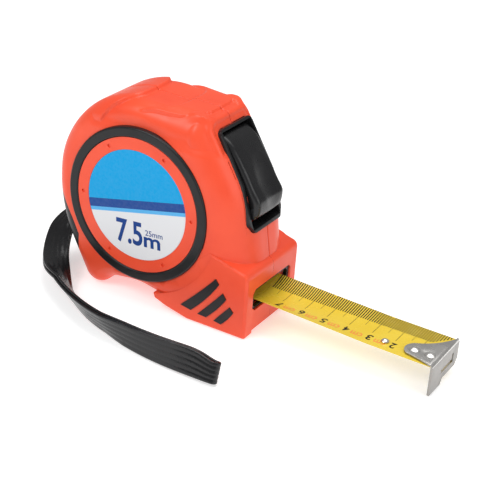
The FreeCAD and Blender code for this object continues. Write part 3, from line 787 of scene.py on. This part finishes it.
def chamfer_edges(piece, width_mm, angle_deg=40.0, segments=2):
    """Bevels every edge that is sharper than the angle."""
    shape = bmesh.new()
    shape.from_mesh(piece.data)
    bmesh.ops.dissolve_limit(shape, angle_limit=math.radians(2.0), verts=shape.verts,
                             edges=shape.edges)
    sharp = [e for e in shape.edges if len(e.link_faces) == 2
             and e.calc_face_angle(0.0) > math.radians(angle_deg)]
    bmesh.ops.bevel(shape, geom=sharp, offset=width_mm * MM, segments=segments, profile=0.6,
                    affect="EDGES", clamp_overlap=True)
    bmesh.ops.triangulate(shape, faces=[f for f in shape.faces if len(f.verts) > 4])
    shape.to_mesh(piece.data)
    shape.free()


BEZEL_CHAMFER = 0.45


def build_bezel():
    piece = cad_copy("button_bezel", "bezel_frame")
    block = front_prism("bezel_block", 0.0)
    combine(piece, block, "INTERSECT")
    drop(block)
    chamfer_edges(piece, BEZEL_CHAMFER)
    soften(piece, 35.0)
    paint(piece, MATERIALS["plastic"])
    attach(piece, "case")
    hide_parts("button_bezel")


# the middle line of the thumb button's face, from behind its top to its foot
BUTTON_PROFILE = [
    (-12.9, 72.5), (-12.0, 76.0), (-9.6, 78.1), (-6.8, 78.2), (-1.7, 74.8), (3.9, 67.4),
    (8.6, 59.9), (11.4, 55.9), (11.9, 53.4), (11.3, 49.2), (9.6, 47.7), (5.0, 46.2), (0.0, 44.8),
]
BUTTON_HALF = 9.95
BUTTON_EDGE_R = 1.9
BUTTON_CROWN = 0.35
DISH_Z, DISH_Y, DISH_HIGH, DISH_WIDE, DISH_DEPTH = 60.0, 1.5, 11.5, 7.0, 1.0
BUTTON_DEPTH = (-26.0, 0.0, -9.0)    # from the face to the block's back


def smooth_line(corners, steps):
    """Evenly spaced points on the smooth curve through the corners (Catmull-Rom)."""
    knots = np.array([corners[0], *corners, corners[-1]], dtype=float)
    line = []
    for i in range(1, len(knots) - 2):
        a, b, c, d = knots[i - 1:i + 3]
        for t in np.linspace(0, 1, 24, endpoint=False):
            line.append(0.5 * (2 * b + (c - a) * t + (2 * a - 5 * b + 4 * c - d) * t * t
                               + (3 * b - a - 3 * c + d) * t ** 3))
    line = np.array(line + [knots[-1]])
    walked = np.concatenate(([0], np.cumsum(np.linalg.norm(np.diff(line, axis=0), axis=1))))
    stops = np.linspace(0, walked[-1], steps)
    return np.stack([np.interp(stops, walked, line[:, i]) for i in range(line.shape[1])], axis=1)


def button_block():
    """Block whose front is the thumb button's face, with rounded flanks and a dish."""
    rows, columns = 110, 61
    profile = smooth_line(BUTTON_PROFILE, rows)
    along = np.gradient(profile, axis=0)
    along /= np.linalg.norm(along, axis=1, keepdims=True)
    outward = np.stack((-along[:, 1], along[:, 0]), axis=1)
    outward *= np.sign(outward[:, :1] * math.cos(FRONT_TILT)
                       + outward[:, 1:] * math.sin(FRONT_TILT))
    side = np.sin(np.linspace(-math.pi / 2, math.pi / 2, columns))
    y = side * BUTTON_HALF
    over = np.clip((np.abs(y) - (BUTTON_HALF - BUTTON_EDGE_R)) / BUTTON_EDGE_R, 0, 1)
    flank = BUTTON_EDGE_R * (1 - np.sqrt(1 - over ** 2)) + BUTTON_CROWN * (y / BUTTON_HALF) ** 2
    points = np.zeros((rows, columns, 3))
    for i, (x, z) in enumerate(profile):
        dish = np.clip(1 - ((z - DISH_Z) / DISH_HIGH) ** 2 - ((y - DISH_Y) / DISH_WIDE) ** 2, 0, 1)
        sink = flank + DISH_DEPTH * dish ** 1.5
        points[i, :, 0] = x - outward[i, 0] * sink
        points[i, :, 1] = y
        points[i, :, 2] = z - outward[i, 1] * sink
    back = points + np.array(BUTTON_DEPTH)
    both = np.concatenate((points.reshape(-1, 3), back.reshape(-1, 3)))
    offset = rows * columns
    faces = []
    for i in range(rows - 1):
        for k in range(columns - 1):
            quad = (i * columns + k, i * columns + k + 1, (i + 1) * columns + k + 1,
                    (i + 1) * columns + k)
            faces.append(quad)
            faces.append(tuple(q + offset for q in quad[::-1]))
    rim = list(range(columns))
    rim += [i * columns + columns - 1 for i in range(1, rows)]
    rim += [(rows - 1) * columns + k for k in range(columns - 2, -1, -1)]
    rim += [i * columns for i in range(rows - 2, 0, -1)]
    for a, b in zip(rim, rim[1:] + rim[:1]):
        faces.append((b, a, a + offset, b + offset))
    piece = new_piece("button_block", both, faces)
    fix_normals(piece)
    return piece


def build_button():
    piece = cad_copy("lock_button", "thumb_button")
    block = button_block()
    combine(piece, block, "INTERSECT")
    drop(block)
    soften(piece, 32.0)
    paint(piece, MATERIALS["plastic"])
    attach(piece, "button")
    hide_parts("lock_button")


# ---- print on blade and label ----
def text_mesh(words, height, width=None, shear=0.0, weight=0.0):
    """Flat filled lettering centred on the origin, this high and wide: points and faces."""
    curve = bpy.data.curves.new("words", "FONT")
    curve.body = words
    curve.shear = shear
    curve.offset = weight
    curve.resolution_u = 6
    holder = bpy.data.objects.new("words", curve)
    bpy.context.collection.objects.link(holder)
    shown = bpy.context.evaluated_depsgraph_get()
    mesh = bpy.data.meshes.new_from_object(holder.evaluated_get(shown))
    flat = np.array([(v.co.x, v.co.y) for v in mesh.vertices])
    faces = [tuple(f.vertices) for f in mesh.polygons]
    bpy.data.objects.remove(holder)
    bpy.data.meshes.remove(mesh)
    bpy.data.curves.remove(curve)
    low, high = flat.min(axis=0), flat.max(axis=0)
    tall = height / (high[1] - low[1])
    wide = width / (high[0] - low[0]) if width else tall
    return [tuple(p) for p in (flat - (low + high) / 2) * (wide, tall)], faces


class PrintSheet:
    """Flat ink shapes gathered in (a, b) and then laid on a surface as one thin piece."""

    def __init__(self):
        self.points, self.faces = [], []

    def add(self, points, faces):
        start = len(self.points)
        self.points += points
        self.faces += [tuple(start + i for i in face) for face in faces]

    def bar(self, a_low, a_high, b_low, b_high, pieces=1):
        stops = [b_low + (b_high - b_low) * k / pieces for k in range(pieces + 1)]
        points = [(a, b) for b in stops for a in (a_low, a_high)]
        self.add(points, [(2 * k, 2 * k + 1, 2 * k + 3, 2 * k + 2) for k in range(pieces)])

    def words(self, words, height, at, turn=0.0, **style):
        points, faces = text_mesh(words, height, **style)
        c, s = math.cos(turn), math.sin(turn)
        self.add([(at[0] + x * c - y * s, at[1] + x * s + y * c) for x, y in points], faces)

    def lay(self, name, place, thickness):
        """One thin closed piece; place(a, b) gives a point on the surface and its way out."""
        under, over = [], []
        for a, b in self.points:
            point, out = place(a, b)
            under.append(np.array(point))
            over.append(np.array(point) + np.array(out) * thickness)
        count = len(under)
        flat = bmesh.new()
        vertices = [flat.verts.new(p) for p in under]
        for face in self.faces:
            flat.faces.new([vertices[i] for i in face])
        flat.verts.index_update()
        open_edges = [(e.verts[0].index, e.verts[1].index) for e in flat.edges
                      if len(e.link_faces) == 1]
        flat.free()
        faces = [tuple(f) for f in self.faces]
        faces += [tuple(count + i for i in reversed(f)) for f in self.faces]
        faces += [(a, b, count + b, count + a) for a, b in open_edges]
        piece = new_piece(name, under + over, faces)
        fix_normals(piece)
        return piece


HOOK_FACE = 92.2                  # X that the scale is measured from
BLADE_END = 90.9                  # the blade's own end, behind the hook
ABOVE = 40.0                      # rays are cast down on to the blade from here
HOOK_Z = 13.0                     # used where a ray meets no blade
INK_LIFT = 0.005


def on_blade():
    """Two functions of (x, y): the place on the blade's top, and whether there is blade."""
    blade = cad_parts["blade"]

    def look_down(x, y):
        return blade.ray_cast(Vector((min(x, BLADE_END), y, ABOVE)) * MM, Vector((0, 0, -1)))

    def place(x, y):
        hit, spot = look_down(x, y)[:2]
        height = spot.z / MM if hit else HOOK_Z
        return (x, y, height + INK_LIFT), (0.0, 0.0, 1.0)

    def on_metal(x, y):
        return look_down(x, y)[0]
    return place, on_metal


TICK_LENGTH, TICK_WIDTH = 8.0, 0.45
CENTIMETRE_LINE = (0.09, -3.2)    # half of its width, and the Y where it ends
HALF_LINE = (0.07, 0.8)
WING_MM = 8                       # the hook's wing shortens the ticks up to here
DIGIT_Y, MARK_Y = -7.4, -7.9


def build_blade_print():
    """Millimetre ticks along the far edge, centimetre figures and the small marks between."""
    black, orange = PrintSheet(), PrintSheet()
    place, on_metal = on_blade()
    for mm in range(3, 80):
        x = HOOK_FACE - mm
        edge = next(y for y in np.arange(12.45, 10.0, -0.05) if on_metal(x, y))
        if mm % 10 == 0:
            half, low = CENTIMETRE_LINE
            black.bar(x - half, x + half, low, edge - TICK_LENGTH, 5)
        elif mm % 5 == 0:
            half, low = HALF_LINE
            black.bar(x - half, x + half, low, edge - TICK_LENGTH, 3)
        if mm > WING_MM:
            black.bar(x - TICK_WIDTH / 2, x + TICK_WIDTH / 2, edge - TICK_LENGTH, edge, 6)
        else:
            black.bar(x - TICK_WIDTH / 2, x + TICK_WIDTH / 2, edge - 1.2 * mm + 2.0, edge, 4)
    for cm in range(2, 8):
        x = HOOK_FACE - 10 * cm
        black.words(str(cm), 4.3, (x + 0.7, DIGIT_Y), math.pi, width=2.3, weight=0.018)
        if cm > 2:
            orange.words("cm", 2.8, (x + 5.4, MARK_Y), math.pi, width=4.8, weight=0.01)
    for name, sheet, ink in (("blade_scale", black, "ink"), ("blade_marks", orange, "orange")):
        piece = sheet.lay(name, place, 0.02)
        paint(piece, MATERIALS[ink])
        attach(piece, "blade")


def build_label_print():
    """The two figures on the label's pale field: the blade's length and its width."""
    sheet = PrintSheet()
    sheet.words("7.5", 10.6, (-3.9, -12.4), width=12.7, weight=0.022)
    sheet.words("m", 4.6, (7.1, -15.0), width=8.0, weight=0.022)
    sheet.words("25mm", 2.4, (8.1, -10.9), width=8.4, weight=0.008)
    c, s = math.cos(LABEL_TURN), math.sin(LABEL_TURN)
    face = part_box("label")[0][1] / MM

    def place(a, b):
        return (REEL_X + a * c - b * s, face - INK_LIFT, REEL_Z + a * s + b * c), (0.0, -1.0, 0.0)
    piece = sheet.lay("label_figures", place, 0.03)
    paint(piece, MATERIALS["navy"])
    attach(piece, "case")


# ---- hook ----
HOOK_TOP = 13.85
HOOK_BEND_R = 1.7
HOOK_CHAMFER = 0.12


def build_hook():
    """The end hook with its sharp bend rounded; its faces that do not face up get a darker steel as
    painted shade.
    """
    piece = cad_copy("hook", "end_hook")
    behind, below, front = 60.0, -5.0, HOOK_FACE - 0.02
    bend = [(behind, below, 0.5), (behind, HOOK_TOP, 0.5), (front, HOOK_TOP, HOOK_BEND_R),
            (front, below, 0.5)]
    block = prism("hook_block", rounded(bend, 10), -20.0, 20.0)
    combine(piece, block, "INTERSECT")
    drop(block)
    chamfer_edges(piece, HOOK_CHAMFER, 50.0, 2)
    soften(piece, 35.0)
    paint(piece, MATERIALS["steel"])
    # painted shade: the darker copy of the steel goes on every face that does not face up, the lit
    # steel on the top
    piece.data.materials.append(MATERIALS["painted_shade_steel"])
    for face in piece.data.polygons:
        face.material_index = 0 if face.normal.z > 0.35 else 1
    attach(piece, "hook")
    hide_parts("hook")


add_camera()
add_studio()
MATERIALS = make_materials()
build_strap()
finish_cad_nodes()
build_shells()
build_bezel()
build_button()
build_blade_print()
build_label_print()
build_hook()
